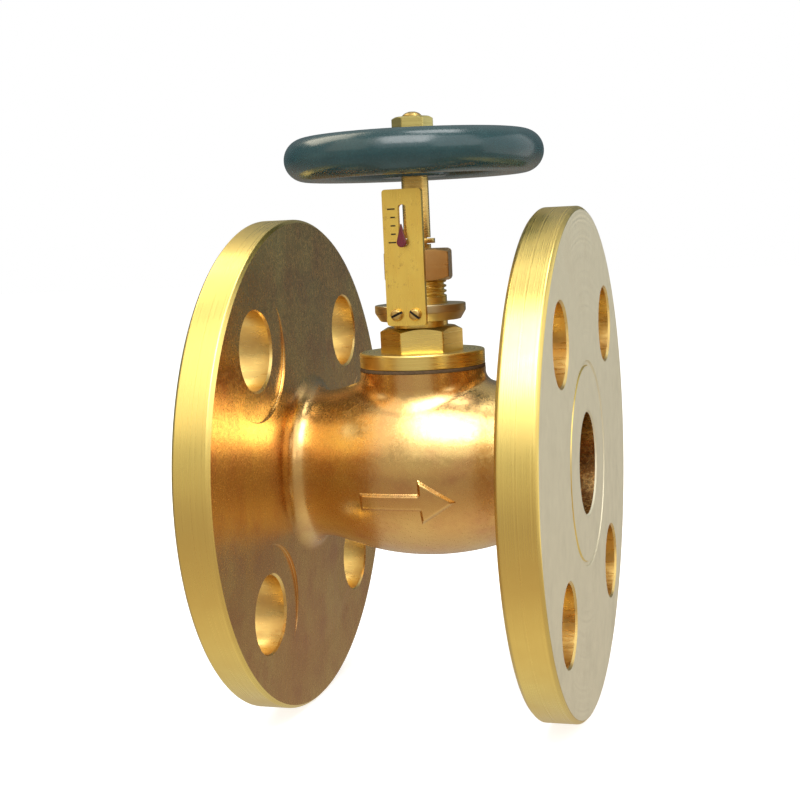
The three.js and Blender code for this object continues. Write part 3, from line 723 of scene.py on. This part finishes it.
def body_casting():
    piece = join(raw_casting(), flow_arrow())
    piece = cut(common(piece, machining_limits()), waterway())
    top = NECK.height
    neck_face = rod("neck_face", NECK.radius + 4 * PAST, top, top + 5 * PAST)
    cut(piece, neck_face, *[bolt_cutter(side, level) for side in (-1, 1) for level in (-1, 1)])
    finish(piece, [CAST, RIM, FACE, BORED], casting_region, 28)


# -------------------- bonnet, packing and gland

CLEAR = 0.15  # between cylinders that fit each other
THREAD = Sizes(major=4.5, minor=3.5, pitch=2.0, clearance=0.2)
STEM = Sizes(
    radius=3.35, head=5.4, neck=4.0, core=3.4, groove=2.45, flats=5.2, stud=2.6,
    foot=4.7, head_top=7.3, thread_low=14.6, thread_high=26.6, groove_low=54.9, groove_high=56.5,
    square_low=71.3, square_high=80.85,
)
BONNET = Sizes(
    thread=13.3, foot=15.0, ring=15.65, ring_foot=24.9, ring_top=28.6,
    flats=18.0, hex_angle=16.0, hex_top=34.6, spigot=6.75, spigot_foot=41.6, spigot_top=49.7,
    room=9.9, room_top=22.3, nut_top=33.2, relief=4.8, back_seat=34.9, box=5.2, box_foot=39.0,
)
GLAND = Sizes(nose=4.95, shoulder=6.3, shoulder_at=50.0)
GLAND_NUT = Sizes(flats=16.0, angle=-21.0, ceiling=51.6)


def helix(angle, height, pitch, flank=0.14, width=0.5):
    """A trapezoidal thread's form: 0 in the root, 1 on the crest, rising with the angle."""
    phase = (height / pitch - angle / (2 * pi)) % 1.0
    return np.clip((width / 2 - np.abs(phase - 0.5)) / flank + 0.5, 0, 1)


def thread_tool(bottom, top):
    """Cuts the nut thread for the stem, with its clearance."""

    def radius(angle, height):
        form = helix(angle, height, THREAD.pitch, width=0.58)
        depth = THREAD.major - THREAD.minor
        return THREAD.minor + THREAD.clearance + depth * form

    return ringed("thread_tool", np.arange(bottom, top, 0.1), radius, 72)


def spigot():
    """The bonnet's neck, threaded on the outside for the gland nut."""
    foot, top = BONNET.spigot_foot, BONNET.spigot_top
    depth, pitch, edge = 0.62, 1.25, 0.8

    def radius(angle, height):
        threaded = depth * np.clip((height - foot) / edge, 0, 1)
        chamfer = edge * np.clip(height - top + edge, 0, 1)
        return BONNET.spigot - threaded * (1 - helix(angle, height, pitch, 0.2)) - chamfer

    plain = np.array([BONNET.hex_top - 1.5, foot - 0.1])
    return ringed("spigot", np.append(plain, np.arange(foot, top + 0.01, 0.1)), radius, 96)


def bonnet():
    b = BONNET
    corner = b.flats / sqrt(3)
    sunk = b.ring_top - 0.25
    profile = [
        (0, b.foot), (b.thread - 0.7, b.foot, 0.2), (b.thread, b.foot + 0.7, 0.2),
        (b.thread, b.ring_foot, 0), (b.ring, b.ring_foot, 0.25),
        (b.ring, b.ring_top, 0.55), (corner + 1.2, b.ring_top, 0.3), (corner + 0.4, sunk), (0, sunk),
    ]
    piece = turned("bonnet_fine", rounded(profile, 0.2), 160)
    hexagonal = hex_head("hexagon", b.flats, b.hex_angle, b.ring_top - 1.5, b.hex_top, both=False)
    join(piece, hexagonal, spigot())
    under = b.foot - PAST
    room = [
        (0, under), (b.room, under, 0), (b.room, b.room_top - 1.4, 0.8),
        (b.room - 1.3, b.room_top, 0.3), (0, b.room_top),
    ]
    bore, end = STEM.radius + CLEAR, b.box_foot + 0.5
    relief = [
        (0, b.nut_top), (b.relief, b.nut_top, 0), (b.relief, b.back_seat, 0),
        (bore, b.back_seat + 1.2, 0.3), (bore, end, 0), (0, end),
    ]
    mouth = b.spigot_top + 0.3
    box = [
        (0, b.box_foot), (b.box, b.box_foot), (b.box, mouth - 0.7),
        (b.box + 0.5, mouth), (0, mouth),
    ]
    cut(piece, turned("room", rounded(room, 0)), thread_tool(b.room_top - 1.1, b.nut_top + 0.3))
    cut(piece, turned("relief", rounded(relief, 0)), turned("box", box))
    finish(piece, [TURNED])


def ring(node, inner, outer, material, soft=0.12):
    """A plain turned ring that fills the height of its CAD node."""
    low, high = span(node)
    profile = rounded(rectangle(inner, low.z, outer, high.z), soft, 3, closed=True)
    finish(turned(node + "_fine", profile), [material])


def gasket():
    ring("bonnet_gasket", WATERWAY.thread + 0.1, NECK.radius - 0.05, GASKET)


def packing_set():
    for number in (1, 2, 3):
        ring(f"packing_ring_{number}", STEM.radius + 0.1, BONNET.box - 0.1, PACKING, 0.35)


def gland():
    low, high = span("gland")
    bore = STEM.radius + CLEAR
    nose, shoulder, step = GLAND.nose, GLAND.shoulder, GLAND.shoulder_at
    profile = [
        (bore, low.z), (nose, low.z), (nose, step, 0.1), (shoulder, step), (shoulder, high.z - 0.6),
        (shoulder - 0.9, high.z), (bore, high.z),
    ]
    finish(turned("gland_fine", rounded(profile, 0.15, 3, closed=True)), [STEM_BRASS])


def nut(node, size, inside, material):
    """A hexagon nut with the height of its CAD node, and inside it that profile, open at both ends."""
    low, high = span(node)
    under, above = low.z - PAST, high.z + PAST
    profile = [(0, under), (inside[0][0], under), *inside, (inside[-1][0], above), (0, above)]
    piece = hex_head(node + "_fine", size.flats, size.angle, low.z, high.z)
    finish(cut(piece, turned("nut_bore", profile)), [material])


def gland_nut():
    low, high = span("gland_nut")
    bore, hole, ceiling = BONNET.spigot + CLEAR, STEM.radius + 0.4, GLAND_NUT.ceiling
    inside = [
        (bore + 0.6, low.z), (bore, low.z + 0.6), (bore, ceiling),
        (hole, ceiling), (hole, high.z - 0.3), (hole + 0.5, high.z + 0.2),
    ]
    nut("gland_nut", GLAND_NUT, inside, DARK_TURNED)


# -------------------- indicator

COLLAR = Sizes(radius=11.35, bore=6.95, chamfer=1.3, chamfer_height=2.1)
GRUB = Sizes(radius=1.45, point=0.8, socket=1.5, socket_depth=1.9)
PLATE = Sizes(corner=0.9, slot_low=54.7, slot_high=64.7, slot_half=1.0)
TICKS = Sizes(count=5, step=2.0, start=1.75, long=1.9, short=1.2, half=0.17, depth=0.25)
SCREW = Sizes(z=38.3, shank=1.15, head=1.5, height=1.2, slot_half=0.28, slot_depth=0.75)
SCREW_X = (-2.3, 2.3)
FORK = Sizes(outer=4.4, inner=2.6, arm=0.8, rivet_hole=0.4)
TIP = Sizes(radius=1.2, back=13.0, rivet=0.3)


def screw_drills(bottom, top):
    """For the holes of the plate's two screws, between those distances in front of the stem."""
    radius = SCREW.shank + CLEAR
    return [rod("drill", radius, bottom, top, 32, "-Y", (x, 0, SCREW.z)) for x in SCREW_X]


def collar():
    low, high = span("indicator_collar")
    outer, inner = COLLAR.radius, COLLAR.bore
    profile = [
        (inner, low.z), (outer - COLLAR.chamfer, low.z), (outer, low.z + COLLAR.chamfer_height),
        (outer, high.z, 0.35), (inner, high.z),
    ]
    piece = turned("indicator_collar_fine", rounded(profile, 0.2, 3, closed=True), 160)
    clear = 14.0
    flat = block("front", (-clear, -clear, low.z - PAST), (clear, low.y, high.z + PAST))
    drill = rod("grub_drill", GRUB.radius + CLEAR, -clear, -inner + PAST, 32, "-Y", (0, 0, SCREW.z))
    cut(piece, flat, *screw_drills(inner - PAST, clear), drill)
    finish(piece, [AGED_BRASS])


def grub_screw():
    low, high = span("collar_grub_screw")
    radius, point, back, front = GRUB.radius, GRUB.point, -high.y, -low.y
    profile = [(0, back), (radius, back, 0.2), (radius, front - 0.4, 0.1), (point, front, 0.1), (0, front)]
    piece = turned("collar_grub_screw_fine", rounded(profile, 0), 48, "-Y", (0, 0, SCREW.z))
    socket, foot = hexagon(GRUB.socket, 0), back + GRUB.socket_depth
    cut(piece, prism("socket", socket, back - PAST, foot, "-Y", (0, 0, SCREW.z)))
    finish(piece, [STEEL])


def indicator_plate():
    """The plate with its slot, and a row of engraved lines beside it."""
    low, high = span("indicator_plate")
    front, back = -low.y, -high.y
    rim = rounded(rectangle(low.x, low.z, high.x, high.z), PLATE.corner, 5, closed=True)
    piece = prism("indicator_plate_fine", rim, back, front, "-Y")
    bottom, top, half = PLATE.slot_low, PLATE.slot_high, PLATE.slot_half
    slot = rounded(rectangle(-half, bottom, half, top), half, 6, closed=True)
    cut(piece, prism("slot", slot, back - PAST, front + PAST, "-Y"))
    cut(piece, *screw_drills(back - PAST, front + PAST))
    bevel(piece, 0.16, 2)
    start, thin, deep = TICKS.start, TICKS.half, TICKS.depth
    for number in range(TICKS.count):
        z = bottom + half + TICKS.step * number
        length = TICKS.short if 0 < number < TICKS.count - 1 else TICKS.long
        corner = (-start - length, -front - PAST, z - thin)
        cut(piece, block("tick", corner, (-start, -front + deep, z + thin)))

    def in_tick(middles, normals):
        x, y, z = middles.T
        margin = 0.15
        beside = (x < -start + margin) & (x > -start - TICKS.long - margin)
        sunk = (y > -front + 0.05) & (y < -front + deep + 0.05)
        reach = (TICKS.count - 1) / 2 * TICKS.step + 0.5
        return beside & sunk & (np.abs(z - (bottom + top) / 2) < reach)

    finish(piece, [PLATE_BRASS, ENGRAVING_PAINT_AND_SLOT_SHADE], in_tick)


def plate_screw(node, x, turn):
    """A slotted pan-head screw, stopped with its slot at that angle. The slot's faces get near-black paint,
    as painted shade.
    """
    low, high = span(node)
    shank, head, end, crown = SCREW.shank, SCREW.head, -high.y, -low.y
    seat = crown - SCREW.height
    profile = [
        (0, end), (shank - 0.3, end, 0.1), (shank, end + 0.4, 0.1), (shank, seat, 0), (head, seat, 0.1),
        (head, seat + 0.7, 0.35), (head - 0.4, crown, 0.4), (0, crown),
    ]
    piece = turned(node + "_fine", rounded(profile, 0), 64, "-Y", (x, 0, SCREW.z))
    c, s = cos(radians(turn)), sin(radians(turn))
    half, long, floor = SCREW.slot_half, 2 * head, crown - SCREW.slot_depth
    slot = [(u * c - v * s, u * s + v * c) for u, v in rectangle(-long, -half, long, half)]
    cut(piece, prism("driver_slot", slot, floor, crown + PAST, "-Y", (x, 0, SCREW.z)))

    # The slot's faces take the near-black material: painted shade standing in for the shadow inside the slot.
    def painted_slot_shade(middles, normals):
        across = (middles[:, 2] - SCREW.z) * c - (middles[:, 0] - x) * s
        return (np.abs(across) < half + 0.01) & (-middles[:, 1] > seat + 0.1)

    finish(piece, [SCREW_BRASS, ENGRAVING_PAINT_AND_SLOT_SHADE], painted_slot_shade)


def pointer_fork():
    """The flat fork in the stem's groove, with the tongue that goes through the slot."""
    low, high = span("pointer_fork")
    outer, inner, arm, reach = FORK.outer, FORK.inner, FORK.arm, -low.y
    under, above, middle = low.z - PAST, high.z + PAST, (low.z + high.z) / 2
    piece = rod("pointer_fork_fine", outer, low.z, high.z, 72)
    join(piece, block("tongue", (-arm, low.y, low.z), (arm, -inner - 0.8, high.z)))
    cut(piece, rod("mouth", inner, under, above, 48))
    cut(piece, block("opening", (-inner, 0, under), (inner, outer + PAST, above)))
    cut(piece, rod("rivet_hole", FORK.rivet_hole, reach - 2, reach + PAST, 24, "-Y", (0, 0, middle)))
    bevel(piece, 0.1, 2)
    finish(piece, [STEM_BRASS])


def pointer_tip():
    """The painted drop-shaped tip in front of the slot, with its rivet."""
    low, high = span("pointer_tip")
    radius, back, front = TIP.radius, TIP.back, -low.y
    middle = low.z + radius
    apex = high.z - middle
    side = acos(radius / apex)
    turns = np.linspace(pi / 2 + side, 2.5 * pi - side, 33)
    round_end = [(radius * cos(a), middle + radius * sin(a)) for a in turns]
    piece = prism("pointer_tip_fine", round_end + [(0, high.z)], back, front, "-Y")
    bevel(piece, 0.35, 4)
    join(piece, rod("rivet", TIP.rivet, -high.y, back + 0.2, 24, "-Y", (0, 0, middle)))
    finish(piece, [RED])


# -------------------- stem, disc and handwheel

DISC = Sizes(radius=12.2, edge=0.7, hub=9.0, socket=5.7, socket_foot=4.5, thread=7.1, thread_foot=7.3)
DISC_NUT = Sizes(flats=16.0, shank=6.95, head_foot=11.05)
WHEEL = Sizes(ring=26.75, tube=5.25, z=76.6, hub=8.0, hub_top=80.8, arm_width=3.4, arm_height=2.6)
WASHER = Sizes(inner=2.8, outer=4.3)
WHEEL_NUT = Sizes(flats=9.0, angle=16.0)


def stem_stations(top):
    """The stem without its threads and its square, as (height, radius) from its foot to its top."""
    s = STEM
    foot, head, neck, core, plain, stud = s.foot, s.head, s.neck, s.core, s.radius, s.stud
    return np.array([
        (foot, 3.6), (foot + 0.25, 4.7), (foot + 0.8, head - 0.1), (foot + 1.1, head),
        (s.head_top - 0.4, head), (s.head_top - 0.15, head - 0.2), (s.head_top, neck + 0.15),
        (s.head_top + 0.2, neck), (s.thread_low - 0.7, neck), (s.thread_low, core),
        (s.thread_high, core), (s.thread_high + 1.0, plain), (s.groove_low - 0.02, plain),
        (s.groove_low, s.groove), (s.groove_high, s.groove), (s.groove_high + 0.02, plain),
        (s.square_high - 0.02, plain), (s.square_high, stud), (top - 1.3, stud),
        (top - 0.8, stud - 0.25), (top - 0.35, 1.8), (top, 0.9),
    ])


def stem():
    """The stem: head, lifting thread, groove for the pointer, square for the wheel and its stud."""
    top = span("stem")[1].z
    stations = stem_stations(top)
    low, high, core = STEM.thread_low, STEM.thread_high, STEM.core
    depth = THREAD.major - THREAD.minor
    stud_thread = STEM.square_high + 0.65

    def radius(angle, height):
        plain = np.interp(height, stations[:, 0], stations[:, 1])
        runout = np.clip((height - low + 0.4) / 0.9, 0, 1) * np.clip((high + 0.8 - height) / 0.9, 0, 1)
        crest = THREAD.minor + depth * helix(angle, height, THREAD.pitch)
        threaded = np.where(runout > 1e-6, np.minimum(crest, core + runout * 1.2), 0)
        fine = STEM.stud - 0.32 * (1 - helix(angle, height, 0.9, 0.2))
        fine = np.where(height > stud_thread, fine, np.inf)
        flat = STEM.flats / 2 / np.maximum(np.abs(np.cos(angle)), np.abs(np.sin(angle)))
        square = np.where(height > STEM.square_low, flat, np.inf)
        return np.minimum(np.minimum(np.maximum(plain, threaded), square), fine)

    lifting = np.arange(low - 0.6, high + 1.05, 0.1)
    clamping = np.arange(stud_thread - 0.1, top - 1.2, 0.08)
    shoulder = STEM.square_low
    edges = [shoulder - 0.02, shoulder + 0.02, STEM.square_high - 0.5, *stations[:, 0]]
    heights = np.unique(np.round(np.concatenate([lifting, clamping, edges]), 4))
    finish(ringed("stem_fine", heights, radius, 96), [STEM_BRASS], angle=40)


def disc():
    low, high = span("disc")
    d = DISC
    outer, edge, hub, thread = d.radius, d.edge, d.hub, d.thread
    profile = [
        (0, low.z), (outer - edge, low.z, 0.2), (outer, low.z + edge, 0.2), (outer, 5.2, 0.3),
        (outer - edge, 5.2 + edge, 0.3), (hub + 0.9, 6.2, 0.6), (hub, 7.1, 0.6), (hub, high.z, 0.3),
        (thread + 0.3, high.z, 0), (thread, high.z - 0.3, 0), (thread, d.thread_foot, 0.1),
        (d.socket, d.thread_foot - 0.1, 0.1), (d.socket, d.socket_foot, 0.4), (0, d.socket_foot),
    ]
    finish(turned("disc_fine", rounded(profile, 0), 128), [TURNED])


def disc_nut():
    low, high = span("disc_nut")
    foot = DISC_NUT.head_foot
    piece = rod("disc_nut_fine", DISC_NUT.shank, low.z, foot + 1, soft=0.2)
    join(piece, hex_head("head", DISC_NUT.flats, 0, foot, high.z, both=False))
    cut(piece, rod("hole", THREAD.major + THREAD.clearance, low.z - PAST, high.z + PAST, 72))
    finish(piece, [TURNED])


def wheel_distance(x, y, z):
    """Outside the handwheel this is positive: a ring, a hub and four oval arms with fillets."""
    height = z - WHEEL.z
    ring_part = np.hypot(np.hypot(x, y) - WHEEL.ring, height) - WHEEL.tube
    hub_low, hub_high = span("handwheel")[0].z, WHEEL.hub_top
    beyond_end = np.abs(z - (hub_low + hub_high) / 2) - (hub_high - hub_low) / 2
    hub = np.maximum(np.hypot(x, y) - WHEEL.hub, beyond_end)
    wide, high = WHEEL.arm_width, WHEEL.arm_height
    arms = []
    for along, across in ((x, y), (y, x)):
        oval = (np.hypot(across / wide, height / high) - 1) * 2.8
        arms.append(np.maximum(oval, np.abs(along) - WHEEL.ring))
    return round_union(round_union(np.minimum(*arms), hub, 1.8), ring_part, 2.2)


def handwheel():
    low, high = span("handwheel")
    ring_radius, tube, level, hub_top = WHEEL.ring, WHEEL.tube, WHEEL.z, WHEEL.hub_top
    wide, thick = WHEEL.arm_width, WHEEL.arm_height
    circle = [(cos(a), sin(a)) for a in np.linspace(0, 2 * pi, 40, endpoint=False)]
    section = [(ring_radius + tube * c, level + tube * s) for c, s in circle]
    arm_x = [(thick * c, wide * s) for c, s in circle]
    arm_y = [(wide * c, level + thick * s) for c, s in circle]
    seeds = [
        turned("ring", section, 128),
        rod("hub", WHEEL.hub, low.z, hub_top),
        prism("arm_x", arm_x, -ring_radius, ring_radius, "X", (0, 0, level)),
        prism("arm_y", arm_y, -ring_radius, ring_radius, "-Y"),
    ]
    piece = cast("handwheel_fine", seeds, wheel_distance, 0.55)
    half = STEM.flats / 2 + 0.12
    cut(piece, block("square", (-half, -half, low.z - PAST), (half, half, high.z + PAST)))
    finish(piece, [GREEN], angle=45)


def spring_washer():
    low, high = span("spring_washer")
    profile = rectangle(WASHER.inner, low.z, WASHER.outer, high.z)
    piece = turned("spring_washer_fine", rounded(profile, 0.08, 2, closed=True), 96)
    slanted = [(2.0, -0.6), (6.0, -0.3), (6.0, 0.4), (2.0, 0.1)]
    cut(piece, prism("split", slanted, low.z - PAST, high.z + PAST))
    finish(piece, [STEEL])


def handwheel_nut():
    top, bore = span("handwheel_nut")[1].z, STEM.stud + CLEAR
    nut("handwheel_nut", WHEEL_NUT, [(bore, top - 0.35), (bore + 0.5, top + 0.15)], NUT_BRASS)


# -------------------- studio


def softbox(name, azimuth, elevation, distance, width, height, power, color=(1, 1, 1)):
    """A rectangular lamp aimed at the valve. Azimuth 0 is in front of it, 90 to its right."""
    lamp = bpy.data.lights.new(name, "AREA")
    lamp.shape = "RECTANGLE"
    lamp.size, lamp.size_y = width, height
    lamp.energy = power
    lamp.color = color
    a, e = radians(azimuth), radians(elevation)
    back = Vector((sin(a) * cos(e), -cos(a) * cos(e), sin(e)))
    stand = add(name, lamp)
    stand.location = back * distance
    stand.rotation_mode = "QUATERNION"
    stand.rotation_quaternion = back.to_track_quat("Z", "Y")


def studio_world():
    """White behind the valve. In the metal the room is bright in front and below, and dim behind."""
    world = bpy.data.worlds.new("studio")
    world.use_nodes = True
    bpy.context.scene.world = world
    world.node_tree.nodes.clear()
    node = Nodes(world.node_tree).node
    direction = node("ShaderNodeTexCoord").outputs["Generated"]
    parts = node("ShaderNodeSeparateXYZ", {0: direction}).outputs

    def spread(axis, low, high):
        """0 to 1 while that part of the direction goes from low to high."""
        inputs = {"Value": parts[axis], "From Min": low, "From Max": high}
        return node("ShaderNodeMapRange", inputs).outputs[0]

    def sky(stops):
        """A colour by height. The first two stops are the lowest and the highest one."""
        ramp = node("ShaderNodeValToRGB", {0: spread("Z", -1, 1)})
        elements = ramp.color_ramp.elements
        for k, (height, color) in enumerate(stops):
            place = (height + 1) / 2
            element = elements[k] if k < 2 else elements.new(place)
            element.position = place
            element.color = (*color, 1)
        return ramp.outputs[0]

    front = sky([
        (-1, (0.92, 0.84, 0.70)), (1, (0.66, 0.65, 0.62)), (-0.7, (0.62, 0.50, 0.38)),
        (-0.2, (0.46, 0.38, 0.32)), (-0.02, (0.68, 0.60, 0.48)), (0.15, (0.62, 0.58, 0.50)),
        (0.5, (0.5, 0.49, 0.47)),
    ])
    rear = sky([
        (-1, (0.75, 0.73, 0.68)), (1, (0.72, 0.71, 0.68)), (-0.6, (0.60, 0.55, 0.48)),
        (-0.28, (0.34, 0.28, 0.23)), (-0.10, (0.20, 0.19, 0.17)), (0.0, (0.11, 0.14, 0.15)),
        (0.4, (0.18, 0.20, 0.21)),
    ])
    rearwards = spread("Y", -0.25, 0.35)
    room = node("ShaderNodeMix", {"Factor": rearwards, 6: front, 7: rear}, data_type="RGBA").outputs[2]
    mirrored = node("ShaderNodeBackground", {"Color": room}).outputs[0]
    seen = node("ShaderNodeBackground", {"Color": (1, 1, 1, 1)}).outputs[0]
    camera_ray = node("ShaderNodeLightPath").outputs["Is Camera Ray"]
    pick = node("ShaderNodeMixShader", {0: camera_ray, 1: mirrored, 2: seen}).outputs[0]
    node("ShaderNodeOutputWorld", {"Surface": pick})


def studio_floor():
    """A plain pale floor under the two flanges, which the metal doesn't mirror."""
    floor = Finish("pale_floor", (0.5, 0.5, 0.5), 0.9, 0.0, Emission_Strength=0.78)
    floor.put("Emission Color", (1, 1, 1, 1))
    level = CAD_BOX[0].z / MM - 0.02
    size = 3000
    corners = [(x, y, level) for x, y in rectangle(-size, -size, size, size)]
    plane = make("floor", corners, [(0, 1, 2, 3)])
    plane.data.materials.append(floor.material)
    plane.visible_glossy = False


def studio():
    bpy.context.scene.view_settings.view_transform = "Standard"
    studio_world()
    studio_floor()
    softbox("key", 5, 44, 0.9, 0.66, 0.86, 1.8)
    softbox("core", 8, 56, 0.88, 0.50, 0.58, 5.6)
    softbox("left", -46, 40, 0.9, 0.64, 0.72, 1.4, (1.0, 0.88, 0.68))
    softbox("right", 54, 38, 0.9, 0.70, 0.80, 2.7)
    softbox("top", 125, 80, 0.95, 0.32, 0.36, 2.0)
    softbox("right_back", 111, 10, 1.2, 1.6, 1.4, 6.0)
    softbox("left_back", -110, 50, 0.9, 0.44, 0.44, 2.2, (1.0, 0.90, 0.70))


place_camera()
studio()
body_casting()
bonnet()
gasket()
packing_set()
gland()
gland_nut()
collar()
grub_screw()
indicator_plate()
plate_screw("indicator_screw_left", SCREW_X[0], 24)
plate_screw("indicator_screw_right", SCREW_X[1], -38)
pointer_fork()
pointer_tip()
stem()
disc()
disc_nut()
handwheel()
spring_washer()
handwheel_nut()
